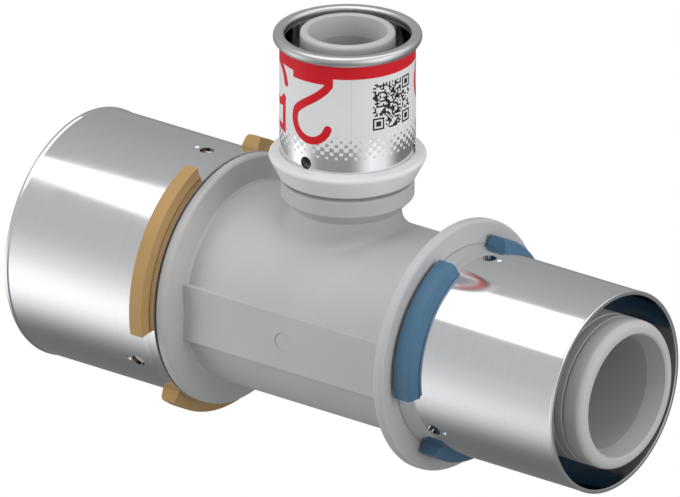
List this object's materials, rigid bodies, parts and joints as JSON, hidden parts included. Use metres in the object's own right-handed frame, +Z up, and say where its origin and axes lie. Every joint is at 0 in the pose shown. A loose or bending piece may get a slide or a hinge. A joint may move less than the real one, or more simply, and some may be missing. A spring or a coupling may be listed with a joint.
{
  "type": "reducing press tee",
  "caption": "Reducing press tee: a plastic tee body with a stainless press sleeve, a coloured stop ring and rubber seals at each end, and a smaller branch.",
  "frame": {"origin": "where the axis of the run and the axis of the branch cross", "axes": "+X along the run towards its small end, +Z up along the branch, -Y towards the flat pad on the barrel"},
  "size_m": [0.1474, 0.0592, 0.093],
  "materials": {
    "body_plastic": "fine satin moulded plastic, light grey",
    "stainless": "polished stainless sheet",
    "tan_plastic": "moulded plastic, tan",
    "blue_plastic": "moulded plastic, blue",
    "white_plastic": "moulded plastic, white",
    "seal_rubber": "greased black rubber",
    "printed_film": "thin printed film, white with a red band"
  },
  "bodies": {
    "root": {"tee_body": "body_plastic", "press_sleeve_large": "stainless", "press_sleeve_small": "stainless", "press_sleeve_branch": "stainless", "stop_ring_large": "tan_plastic", "stop_ring_small": "blue_plastic", "stop_ring_branch": "white_plastic", "seal_ring_large_inner": "seal_rubber", "seal_ring_large_outer": "seal_rubber", "seal_ring_small_inner": "seal_rubber", "seal_ring_small_outer": "seal_rubber", "seal_ring_branch_inner": "seal_rubber", "seal_ring_branch_outer": "seal_rubber", "marking_film": "printed_film"}
  },
  "joints": []
}
